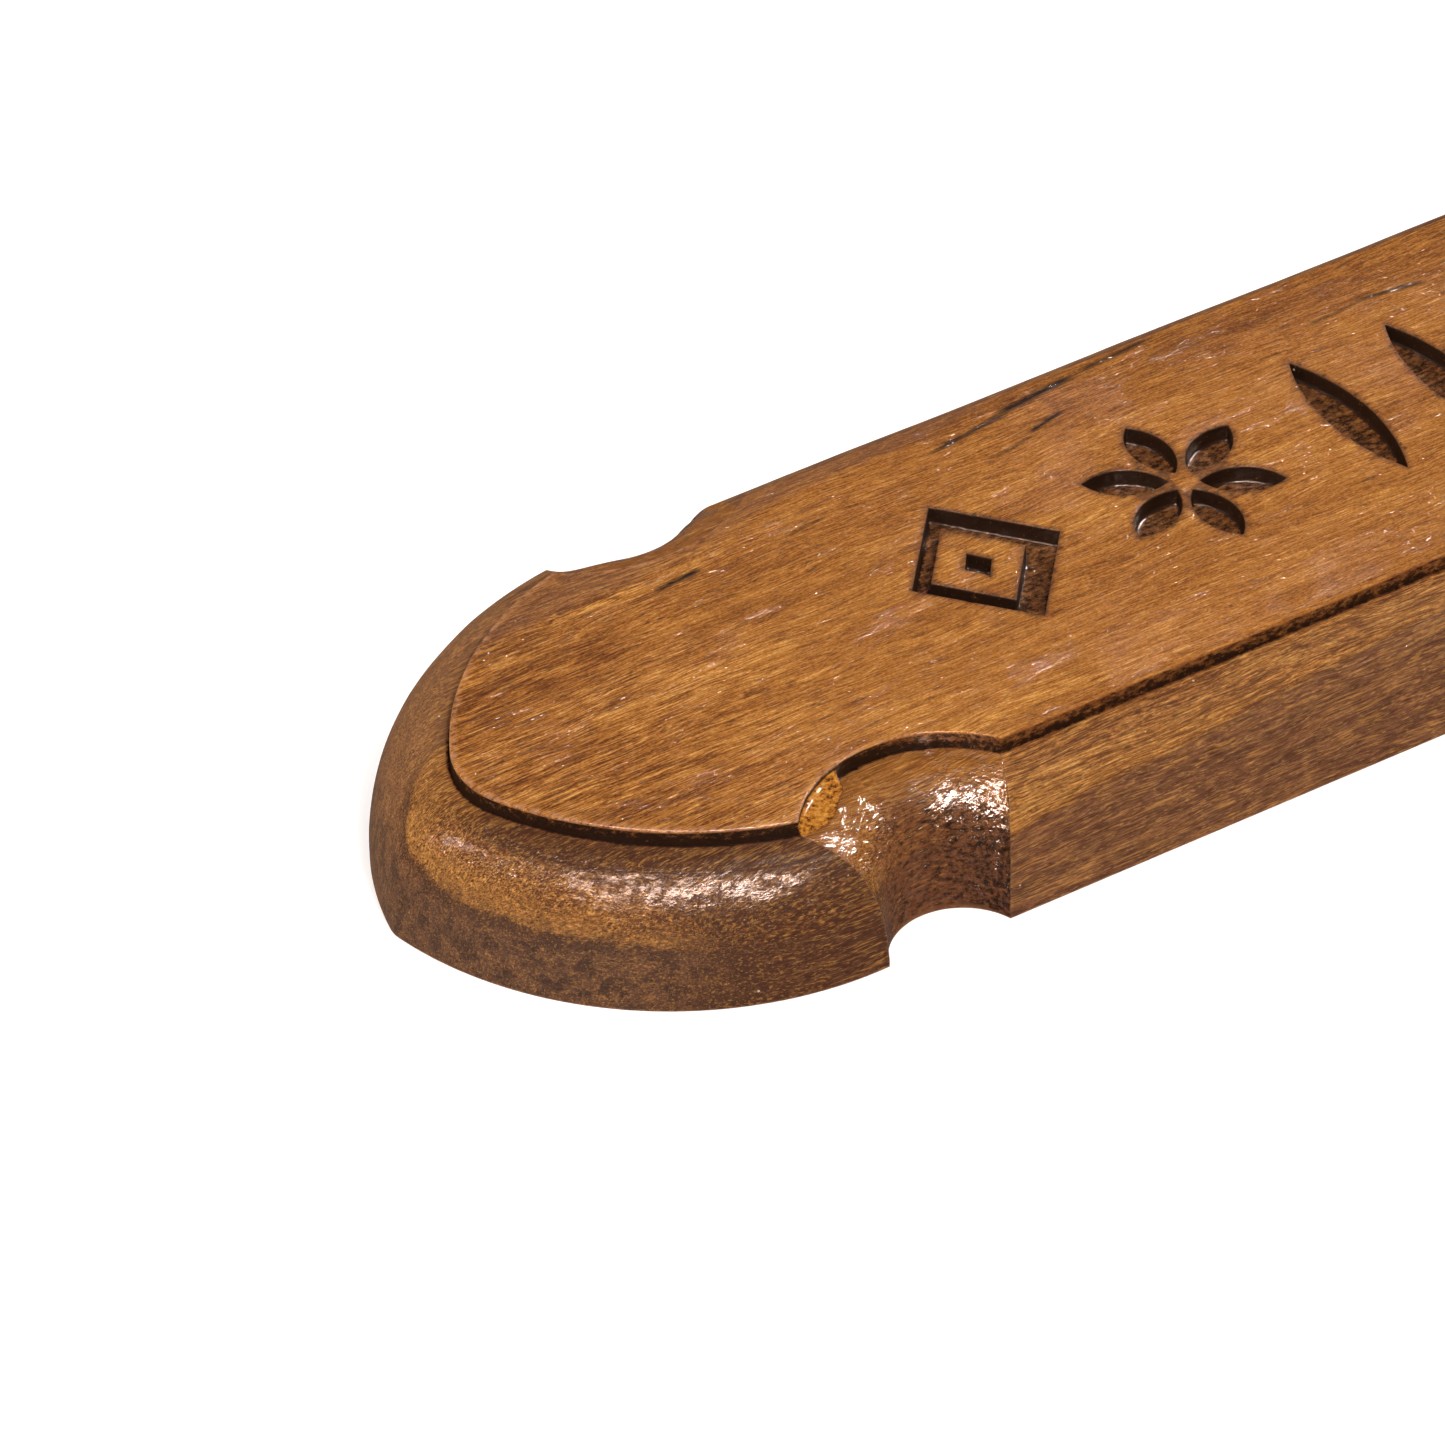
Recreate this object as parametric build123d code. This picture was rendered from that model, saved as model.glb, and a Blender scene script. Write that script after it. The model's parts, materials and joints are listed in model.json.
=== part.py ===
from build123d import *
from dataclasses import astuple, dataclass
from math import atan2, cos, hypot, pi, sin, sqrt
import os

# A carved teak door sign, lying on its back.
# Origin: middle of the flat back face. +X runs along the sign, +Y towards its upper edge,
# +Z out of its face. Millimetres throughout.

# ---------------------------------------------------------------- driving dimensions
thickness = 15.0          # planed board, back face to raised panel
step_depth = 1.8          # vertical quirk around the raised panel
moulding_power = 2.3      # 2 would be a quarter ellipse; more is a fuller shoulder
moulding_levels = 10      # straight bands that make up the rounded moulding

engraving_depth = 1.85
engraving_middle_y = 0.9  # the row of ornaments sits slightly above the centreline
ornament_height = 19.7
lozenge_x = 47.6          # middle of the sign to the middle of each ornament
rosette_x = 24.9
spindle_x = 5.7
lozenge_half_width = 8.4
window_half_width = 5.4   # the lozenge's open middle
window_margin = 3.4       # from the lozenge's point down to the open middle's point
window_shift = 0.9        # outwards, which leaves the inner pair of strokes broader
heart_half_width = 1.5    # the small lozenge cut inside the open middle
heart_half_height = 2.0
petal_count = 6
petal_width = 3.9
boss_radius = 1.5         # the uncut middle of a rosette
spindle_width = 4.6

hanger_spacing = 120.0    # between the two keyhole plates
plate_length = 40.0
plate_width = 15.0
plate_thickness = 1.6
plate_setback = 0.1       # below the back face, so that the board bears on the door
plate_fit = 0.1           # gap between a plate and the edge of its housing
keyhole_entry_radius = 4.3
keyhole_slot_radius = 2.15
keyhole_entry_y = -5.0
keyhole_slot_end_y = 6.5
head_pocket_width = 10.0
head_pocket_length = 21.0
head_pocket_depth = 5.0   # behind the plate, room for a wall screw's head

screw_y = 15.5            # each side of the plate's middle
screw_head_radius = 2.9
screw_shank_radius = 1.45
screw_head_height = 1.45
screw_length = 10.0
screw_point_length = 2.2
screw_tip_radius = 0.25
screw_clearance = 0.02
pilot_spare_depth = 0.5   # of a pilot hole, past the screw's tip
drive_slot_width = 0.75
drive_slot_length = 3.2
drive_slot_depth = 0.9

overcut = 1.0             # how far a cutting tool starts outside the wood or metal it cuts


@dataclass
class Outline:
    """One level of the board's outline. The two ends are mirror images; the two edges are not:
    the lower edge's notches are cut deeper into the panel than the upper edge's."""
    half_width: float      # centreline to a straight edge
    tip_x: float           # middle to the tip of an end
    nose_radius: float     # the small arc at the tip
    lobe_radius: float     # the two arcs that rise from the nose to the notches
    lobe_offset: float     # how far each lobe arc's centre lies past the centreline
    notch_x: float         # middle to a notch's centre
    lower_notch_y: float   # centreline to the centre of a lower notch
    lower_notch_radius: float
    upper_notch_y: float
    upper_notch_radius: float

    def mix(self, other, share):
        """The level that lies this share of the way from this outline to the other."""
        pairs = zip(astuple(self), astuple(other))
        return Outline(*[a + (b - a) * share for a, b in pairs])


# The raised panel's edge, and the foot of the moulding on the back face.
panel = Outline(21.8, 106.0, 9.0, 35.5, 12.5, 72.3, 30.15, 13.95, 36.4, 18.2)
foot = Outline(29.25, 114.0, 3.5, 35.6, 6.7, 71.5, 31.45, 7.0, 31.45, 7.0)


# ---------------------------------------------------------------- the board's outline
def arc_between(centre, radius, start, end):
    """The shorter arc of a circle from start to end."""
    first = atan2(start[1] - centre[1], start[0] - centre[0])
    last = atan2(end[1] - centre[1], end[0] - centre[0])
    turn = (last - first + pi) % (2 * pi) - pi
    middle = first + turn / 2
    through = (centre[0] + radius * cos(middle), centre[1] + radius * sin(middle))
    return ThreePointArc(start, through, end)


def outer_crossing(centre_a, radius_a, centre_b, radius_b):
    """Of the two points where two circles cross, the one nearer the sign's end."""
    dx, dy = centre_b[0] - centre_a[0], centre_b[1] - centre_a[1]
    gap = hypot(dx, dy)
    along = (radius_a**2 - radius_b**2 + gap**2) / (2 * gap)
    across = sqrt(radius_a**2 - along**2)
    chord = (centre_a[0] + along * dx / gap, centre_a[1] + along * dy / gap)
    crossings = [
        (chord[0] - side * across * dy / gap, chord[1] + side * across * dx / gap)
        for side in (-1, 1)
    ]
    return max(crossings)


def end_corners(level, edge):
    """For the +X end: where the nose meets a lobe, the lobe meets its notch, and the notch
    meets the straight edge. edge is 1 for the upper edge, -1 for the lower."""
    reach = level.lobe_radius - level.nose_radius
    nose = (level.tip_x - level.nose_radius, 0.0)
    lobe = (nose[0] - sqrt(reach**2 - level.lobe_offset**2), -level.lobe_offset)
    notch_y = level.upper_notch_y if edge > 0 else level.lower_notch_y
    notch_radius = level.upper_notch_radius if edge > 0 else level.lower_notch_radius
    notch = (level.notch_x, notch_y)
    tangent = (
        nose[0] + level.nose_radius * (nose[0] - lobe[0]) / reach,
        level.nose_radius * level.lobe_offset / reach,
    )
    corner = outer_crossing(lobe, level.lobe_radius, notch, notch_radius)
    shoulder = (notch[0] - sqrt(notch_radius**2 - (notch[1] - level.half_width) ** 2), level.half_width)
    return lobe, notch, notch_radius, tangent, corner, shoulder


def quarter_edges(level, end, edge):
    """The lobe arc and notch arc of one quarter, from the nose to the straight edge."""
    def place(point):
        return (end * point[0], edge * point[1])

    lobe, notch, notch_radius, tangent, corner, shoulder = end_corners(level, edge)
    return [
        arc_between(place(lobe), level.lobe_radius, place(tangent), place(corner)),
        arc_between(place(notch), notch_radius, place(corner), place(shoulder)),
    ]


def outline_face(level, z):
    """The whole outline at one height, as a flat face."""
    edges = []
    for edge in (-1, 1):
        shoulder = end_corners(level, edge)[5]
        y = edge * shoulder[1]
        edges.append(Line((-shoulder[0], y), (shoulder[0], y)))
        for end in (-1, 1):
            edges += quarter_edges(level, end, edge)
    for end in (-1, 1):
        upper, lower = end_corners(level, 1)[3], end_corners(level, -1)[3]
        nose_arc = ThreePointArc(
            (end * lower[0], -lower[1]), (end * level.tip_x, 0), (end * upper[0], upper[1])
        )
        edges.append(nose_arc)
    return Pos(0, 0, z) * make_face(edges)


def moulding_section(turn):
    """One level of the moulding: turn runs from 0 at the panel's quirk to 1 at the back face."""
    share = sin(turn * pi / 2) ** (2 / moulding_power)
    height = (thickness - step_depth) * max(cos(turn * pi / 2), 0) ** (2 / moulding_power)
    return outline_face(panel.mix(foot, share), height if turn < 1 else 0)


def board():
    """The solid teak, before it is engraved: rounded moulding, then the raised panel."""
    turns = [1 - step / moulding_levels for step in range(moulding_levels + 1)]
    sections = [moulding_section(turn) for turn in turns]
    sections.append(outline_face(panel, thickness))
    return loft(sections=sections, ruled=True)


# ---------------------------------------------------------------- engraved ornaments
def leaf(length, width):
    """A pointed leaf standing on the origin, made of two equal arcs."""
    return make_face([
        ThreePointArc((0, 0), (width / 2, length / 2), (0, length)),
        ThreePointArc((0, length), (-width / 2, length / 2), (0, 0)),
    ])


def lozenge(half_width, half_height, shift=0.0):
    """A diamond standing on its point."""
    corners = [(0, -half_height), (half_width, 0), (0, half_height), (-half_width, 0)]
    return Pos(shift, 0) * make_face(Polyline(corners, close=True))


def lozenge_frame(side):
    """An open diamond with a small one cut inside it. side is 1 at the sign's +X end."""
    outer = lozenge(lozenge_half_width, ornament_height / 2)
    shift = side * window_shift
    window = lozenge(window_half_width, ornament_height / 2 - window_margin, shift)
    return outer - window + lozenge(heart_half_width, heart_half_height, shift)


def rosette():
    """Six chip-carved leaves around a small round boss."""
    petal = Pos(0, boss_radius) * leaf(ornament_height / 2 - boss_radius, petal_width)
    petals = [Rot(0, 0, 360 / petal_count * number) * petal for number in range(petal_count)]
    return sum(petals[1:], petals[0])


def spindle():
    """One tall leaf, pointed at both ends."""
    return Pos(0, -ornament_height / 2) * leaf(ornament_height, spindle_width)


def ornaments():
    """The row of ornaments, mirrored about the middle of the sign."""
    shapes = []
    for side in (-1, 1):
        shapes.append(Pos(side * lozenge_x, engraving_middle_y) * lozenge_frame(side))
        shapes.append(Pos(side * rosette_x, engraving_middle_y) * rosette())
        shapes.append(Pos(side * spindle_x, engraving_middle_y) * spindle())
    return shapes


def engraving():
    """What the cutter removes: flat-bottomed, with upright walls."""
    floor = thickness - engraving_depth
    return [extrude(Pos(0, 0, floor) * shape, engraving_depth + overcut) for shape in ornaments()]


# ---------------------------------------------------------------- keyhole hangers
plate_top_z = plate_setback + plate_thickness


def slot_prism(width, end_to_end, middle_y, z, height):
    """A prism with round ends that runs along Y."""
    flat = SlotOverall(end_to_end, width, rotation=90)
    return Pos(0, middle_y, z) * extrude(flat, height)


def countersink(grow):
    """A screw's head and shank, grown by a clearance, as a pocket or as the screw itself."""
    head = Cone(
        screw_head_radius + grow, screw_shank_radius + grow, screw_head_height,
        align=(Align.CENTER, Align.CENTER, Align.MIN),
    )
    return Pos(0, 0, plate_setback) * head


def keyhole():
    """The round entry and the slot above it, through the plate."""
    middle = (keyhole_entry_y + keyhole_slot_end_y) / 2
    slot_length = keyhole_slot_end_y - keyhole_entry_y + keyhole_slot_radius
    slot = slot_prism(
        2 * keyhole_slot_radius, slot_length, middle + keyhole_slot_radius / 2,
        0, plate_top_z + overcut,
    )
    entry = Cylinder(
        keyhole_entry_radius, plate_top_z + overcut,
        align=(Align.CENTER, Align.CENTER, Align.MIN),
    )
    return slot + Pos(0, keyhole_entry_y, 0) * entry


def hanger_plate():
    """One keyhole plate: rounded ends, the keyhole, and two countersunk screw holes."""
    plate = slot_prism(plate_width, plate_length, 0, plate_setback, plate_thickness)
    plate -= keyhole()
    through = Cylinder(
        screw_shank_radius + screw_clearance, plate_top_z + overcut,
        align=(Align.CENTER, Align.CENTER, Align.MIN),
    )
    for side in (-1, 1):
        plate -= Pos(0, side * screw_y, 0) * (countersink(screw_clearance) + through)
    return plate


def hanger_screw():
    """A countersunk wood screw with a cross recess, its head flush with the plate."""
    shank_length = screw_length - screw_head_height - screw_point_length
    bottom = (Align.CENTER, Align.CENTER, Align.MIN)
    shank = Cylinder(screw_shank_radius, shank_length, align=bottom)
    point = Cone(screw_shank_radius, screw_tip_radius, screw_point_length, align=bottom)
    neck_z = plate_setback + screw_head_height
    screw = countersink(0) + Pos(0, 0, neck_z) * shank + Pos(0, 0, neck_z + shank_length) * point
    for turn in (0, 90):
        bar = Box(drive_slot_length, drive_slot_width, drive_slot_depth, align=bottom)
        screw -= Pos(0, 0, plate_setback) * Rot(0, 0, turn) * bar
    return screw


def hanger_housing():
    """What is cut from the back of the board for one hanger: the plate's flat housing, the
    pocket for the wall screw's head, and two pilot holes."""
    housing = slot_prism(
        plate_width + 2 * plate_fit, plate_length + 2 * plate_fit, 0,
        -overcut, plate_top_z + overcut,
    )
    pocket_middle = (keyhole_entry_y + keyhole_slot_end_y) / 2
    housing += slot_prism(
        head_pocket_width, head_pocket_length, pocket_middle, 0, plate_top_z + head_pocket_depth
    )
    pilot = Cylinder(
        screw_shank_radius + screw_clearance, plate_setback + screw_length + pilot_spare_depth,
        align=(Align.CENTER, Align.CENTER, Align.MIN),
    )
    for side in (-1, 1):
        housing += Pos(0, side * screw_y, 0) * pilot
    return housing


# ---------------------------------------------------------------- assembly
def sub_parts():
    """Every separate piece, by its name, in place."""
    sides = {"left": -hanger_spacing / 2, "right": hanger_spacing / 2}
    body = board()
    for ornament in engraving():
        body -= ornament
    for x in sides.values():
        body -= Pos(x, 0, 0) * hanger_housing()
    parts = {"plaque_body": body}
    for side, x in sides.items():
        parts[f"keyhole_hanger_{side}"] = Pos(x, 0, 0) * hanger_plate()
        for place, y in (("upper", screw_y), ("lower", -screw_y)):
            parts[f"hanger_screw_{side}_{place}"] = Pos(x, y, 0) * hanger_screw()
    return parts


os.makedirs("parts", exist_ok=True)
for name, part in sub_parts().items():
    part.label = name
    export_step(part, f"parts/{name}.step")
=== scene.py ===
import json
import math
from dataclasses import astuple, dataclass

import bpy
import numpy as np
from mathutils import Matrix, Vector, kdtree, noise
from mathutils.geometry import delaunay_2d_cdt

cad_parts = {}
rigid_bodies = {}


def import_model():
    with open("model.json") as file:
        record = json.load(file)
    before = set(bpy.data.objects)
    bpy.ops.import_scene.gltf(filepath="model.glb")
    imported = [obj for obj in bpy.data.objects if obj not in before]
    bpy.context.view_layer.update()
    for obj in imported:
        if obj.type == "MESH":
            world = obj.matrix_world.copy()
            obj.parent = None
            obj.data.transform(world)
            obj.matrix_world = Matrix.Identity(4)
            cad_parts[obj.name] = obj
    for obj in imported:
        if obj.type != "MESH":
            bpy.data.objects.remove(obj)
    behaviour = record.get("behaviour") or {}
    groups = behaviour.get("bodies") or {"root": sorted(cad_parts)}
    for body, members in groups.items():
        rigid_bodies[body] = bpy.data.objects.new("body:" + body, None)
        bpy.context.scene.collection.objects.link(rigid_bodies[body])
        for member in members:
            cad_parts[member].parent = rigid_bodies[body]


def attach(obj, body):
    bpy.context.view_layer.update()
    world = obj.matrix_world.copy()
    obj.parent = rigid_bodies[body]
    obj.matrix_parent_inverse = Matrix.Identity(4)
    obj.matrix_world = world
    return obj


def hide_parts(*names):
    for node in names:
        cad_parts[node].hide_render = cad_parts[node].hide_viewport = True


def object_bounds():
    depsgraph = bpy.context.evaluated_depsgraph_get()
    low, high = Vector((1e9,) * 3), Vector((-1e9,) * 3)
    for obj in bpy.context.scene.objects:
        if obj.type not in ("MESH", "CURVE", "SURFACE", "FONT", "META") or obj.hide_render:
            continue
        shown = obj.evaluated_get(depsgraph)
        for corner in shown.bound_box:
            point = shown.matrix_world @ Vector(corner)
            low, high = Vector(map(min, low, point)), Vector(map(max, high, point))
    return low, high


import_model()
cad_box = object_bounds()

# A carved teak door sign lying face up, rebuilt at high resolution round the CAD model's own
# driving dimensions. Lengths below are in millimetres and become metres when a mesh is made.
MM = 0.001

# ---------------------------------------------------------------- the board's dimensions, mm
THICKNESS = 15.0
STEP_DEPTH = 1.8
SHELF_Z = THICKNESS - STEP_DEPTH
MOULDING_POWER = 2.3
ENGRAVING_DEPTH = 1.85
ENGRAVING_Y = 0.9
ORNAMENT_HEIGHT = 19.7
LOZENGE_X, ROSETTE_X, SPINDLE_X = 47.6, 24.9, 5.7
LOZENGE_HALF_WIDTH = 8.4
WINDOW_HALF_WIDTH, WINDOW_MARGIN, WINDOW_SHIFT = 5.4, 3.4, 0.9
HEART_HALF_WIDTH, HEART_HALF_HEIGHT = 1.5, 2.0
PETALS, PETAL_WIDTH, BOSS_RADIUS = 6, 3.9, 1.5
SPINDLE_WIDTH = 4.6

HANGER_X = 60.0
HOUSING_WIDTH, HOUSING_LENGTH, HOUSING_Z = 15.2, 40.2, 1.7
POCKET_WIDTH, POCKET_LENGTH, POCKET_Y, POCKET_Z = 10.0, 21.0, 0.75, 6.7
PILOT_RADIUS, PILOT_Y, PILOT_Z = 1.47, 15.5, 10.6


@dataclass
class Outline:
    """One level of the board's outline, as in the CAD model."""
    half_width: float
    tip_x: float
    nose_radius: float
    lobe_radius: float
    lobe_offset: float
    notch_x: float
    lower_notch_y: float
    lower_notch_radius: float
    upper_notch_y: float
    upper_notch_radius: float

    def mix(self, other, share):
        pairs = zip(astuple(self), astuple(other))
        return Outline(*[a + (b - a) * share for a, b in pairs])


PANEL = Outline(21.8, 106.0, 9.0, 35.5, 12.5, 72.3, 30.15, 13.95, 36.4, 18.2)
FOOT = Outline(29.25, 114.0, 3.5, 35.6, 6.7, 71.5, 31.45, 7.0, 31.45, 7.0)


# ---------------------------------------------------------------- outline curves
def crowded(count, near_end):
    """Shares from 0 up to, not including, 1, with extra ones close to both ends, so that the
    corner at each end of a curve stays crisp. near_end is the first one's share."""
    ends = np.array([0.0, 1.0, 2.2]) * near_end
    middle = np.linspace(3.8 * near_end, 1 - 3.8 * near_end, count)
    return np.concatenate([ends, middle, 1 - ends[:0:-1]])


def line_points(start, end, shares):
    start, end = np.array(start), np.array(end)
    return start + np.outer(shares, end - start)


def arc_points(centre, radius, start, end, shares):
    """Points along the shorter arc of a circle from start towards end."""
    first = math.atan2(start[1] - centre[1], start[0] - centre[0])
    last = math.atan2(end[1] - centre[1], end[0] - centre[0])
    turn = (last - first + math.pi) % (2 * math.pi) - math.pi
    angles = first + turn * shares
    return np.array(centre) + radius * np.column_stack([np.cos(angles), np.sin(angles)])


def outer_crossing(centre_a, radius_a, centre_b, radius_b):
    """Of the two points where two circles cross, the one nearer the sign's end."""
    dx, dy = centre_b[0] - centre_a[0], centre_b[1] - centre_a[1]
    gap = math.hypot(dx, dy)
    along = (radius_a**2 - radius_b**2 + gap**2) / (2 * gap)
    across = math.sqrt(radius_a**2 - along**2)
    x, y = centre_a[0] + along * dx / gap, centre_a[1] + along * dy / gap
    return max((x - s * across * dy / gap, y + s * across * dx / gap) for s in (-1, 1))


def end_corners(level, edge):
    """For the +X end: lobe centre, notch centre and radius, and the three corner points."""
    reach = level.lobe_radius - level.nose_radius
    nose_x = level.tip_x - level.nose_radius
    lobe = (nose_x - math.sqrt(reach**2 - level.lobe_offset**2), -level.lobe_offset)
    notch_y = level.upper_notch_y if edge > 0 else level.lower_notch_y
    radius = level.upper_notch_radius if edge > 0 else level.lower_notch_radius
    notch = (level.notch_x, notch_y)
    tangent = (
        nose_x + level.nose_radius * (nose_x - lobe[0]) / reach,
        level.nose_radius * level.lobe_offset / reach,
    )
    corner = outer_crossing(lobe, level.lobe_radius, notch, radius)
    half_chord = math.sqrt(radius**2 - (notch_y - level.half_width) ** 2)
    shoulder = (level.notch_x - half_chord, level.half_width)
    return lobe, notch, radius, tangent, corner, shoulder


# How the points are spread along each piece of an outline, as shares of its length.
STRAIGHT_SHARES = crowded(330, 0.0015)
NOTCH_SHARES = crowded(60, 0.009)
LOBE_SHARES = crowded(100, 0.005)
NOSE_SHARES = np.linspace(0, 1, 26, endpoint=False)


def outline_points(level):
    """The whole outline, anticlockwise, with the same number of points at every level."""
    pieces = []

    def quarter(end, edge, outwards):
        lobe, notch, radius, tangent, corner, shoulder = end_corners(level, edge)
        lobe, notch, tangent, corner, shoulder = [
            (end * p[0], edge * p[1]) for p in (lobe, notch, tangent, corner, shoulder)
        ]
        if outwards:
            pieces.append(arc_points(notch, radius, shoulder, corner, NOTCH_SHARES))
            pieces.append(arc_points(lobe, level.lobe_radius, corner, tangent, LOBE_SHARES))
        else:
            pieces.append(arc_points(lobe, level.lobe_radius, tangent, corner, LOBE_SHARES))
            pieces.append(arc_points(notch, radius, corner, shoulder, NOTCH_SHARES))

    for side in (1, -1):
        # the lower edge runs towards +X and the upper edge back again
        edge = -side
        x = end_corners(level, edge)[5][0]
        y = edge * level.half_width
        pieces.append(line_points((-side * x, y), (side * x, y), STRAIGHT_SHARES))
        quarter(side, edge, True)
        start, end = end_corners(level, edge)[3], end_corners(level, -edge)[3]
        nose = (side * (level.tip_x - level.nose_radius), 0.0)
        start, end = (side * start[0], edge * start[1]), (side * end[0], -edge * end[1])
        pieces.append(arc_points(nose, level.nose_radius, start, end, NOSE_SHARES))
        quarter(side, -edge, False)
    return np.concatenate(pieces)


def notch_shares():
    """For each point of an outline, how far along its notch it lies, from the ridge beside the
    lobe at 0 to the shoulder at 1, or nan outside the notches. The last one is the lower notch
    of the -X end."""
    lobe, straight = (np.full(len(s), np.nan) for s in (LOBE_SHARES, STRAIGHT_SHARES))
    nose = np.full(len(NOSE_SHARES), np.nan)
    half = [straight, 1 - NOTCH_SHARES, lobe, nose, lobe, NOTCH_SHARES]
    return np.concatenate(half * 2)


ORNAMENT_STEP = 0.22       # between the points of an engraved outline
HOUSING_STEP = 0.5         # between those round a housing or a pocket


def leaf_points(foot, angle, length, width):
    """A pointed leaf made of two equal arcs, anticlockwise, from its foot outwards."""
    radius = (length**2 + width**2) / (4 * width)
    half_turn = math.asin(length / 2 / radius)
    run = 2 * half_turn * radius
    angles = half_turn * (2 * crowded(int(run / ORNAMENT_STEP), ORNAMENT_STEP / run) - 1)
    one = np.column_stack([
        radius * np.cos(angles) - radius + width / 2, length / 2 + radius * np.sin(angles),
    ])
    other = np.column_stack([-one[:, 0], length - one[:, 1]])
    points = np.concatenate([one, other])
    turn = np.array([[math.cos(angle), math.sin(angle)], [-math.sin(angle), math.cos(angle)]])
    return (points + (0, foot)) @ turn


def lozenge_points(half_width, half_height, shift=0.0):
    """A diamond, anticlockwise."""
    corners = [(half_width, 0), (0, half_height), (-half_width, 0), (0, -half_height)]
    run = math.hypot(half_width, half_height)
    shares = crowded(max(2, int(run / ORNAMENT_STEP)), ORNAMENT_STEP / run)
    sides = [line_points(corners[n], corners[(n + 1) % 4], shares) for n in range(4)]
    return np.concatenate(sides) + (shift, 0)


def stadium_points(width, length, x, y):
    """A slot with round ends that runs along Y, anticlockwise."""
    radius, reach = width / 2, (length - width) / 2
    turn = np.linspace(0, math.pi, int(math.pi * radius / HOUSING_STEP))
    cap = np.column_stack([radius * np.cos(turn), reach + radius * np.sin(turn)])
    shares = np.linspace(0, 1, int(2 * reach / HOUSING_STEP))[1:-1]
    side = line_points((-radius, reach), (-radius, -reach), shares)
    half = np.concatenate([cap, side])
    return np.concatenate([half, -half]) + (x, y)


def circle_points(radius, x, y, count=32):
    turn = np.linspace(0, 2 * math.pi, count, endpoint=False)
    return np.column_stack([x + radius * np.cos(turn), y + radius * np.sin(turn)])


def sides_of(loop):
    """The side of a closed loop that ends at each of its points, and the one that starts there."""
    return loop - np.roll(loop, 1, 0), np.roll(loop, -1, 0) - loop


def offset(loop, distance):
    """An anticlockwise loop moved outwards by a distance, or by one distance for each point."""
    before, after = sides_of(loop)
    normals = []
    for step in (before, after):
        step = step / np.linalg.norm(step, axis=1, keepdims=True)
        normals.append(np.column_stack([step[:, 1], -step[:, 0]]))
    middle = normals[0] + normals[1]
    middle /= np.linalg.norm(middle, axis=1, keepdims=True)
    cosine = np.maximum((middle * normals[0]).sum(1), 0.35)
    distance = np.broadcast_to(distance, len(loop))
    moved = loop + middle * (distance / cosine)[:, None]
    # beside a corner that closes up, points that would cross over it meet on its mitre
    swallowed = np.abs(distance) * np.sqrt(np.maximum(1 / cosine**2 - 1, 0))
    turn = before[:, 0] * after[:, 1] - before[:, 1] * after[:, 0]
    closing = (cosine < 0.985) & (turn * distance < 0)
    for corner in np.flatnonzero(closing):
        for step in (-3, -2, -1, 1, 2, 3):
            beside = (corner + step) % len(loop)
            if np.linalg.norm(loop[beside] - loop[corner]) < 1.05 * swallowed[corner]:
                moved[beside] = moved[corner]
    return moved


def corners_of(loop):
    """Which points of a loop are its sharp corners."""
    before, after = (side / np.linalg.norm(side, axis=1, keepdims=True) for side in sides_of(loop))
    return (before * after).sum(1) < 0.95


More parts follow.
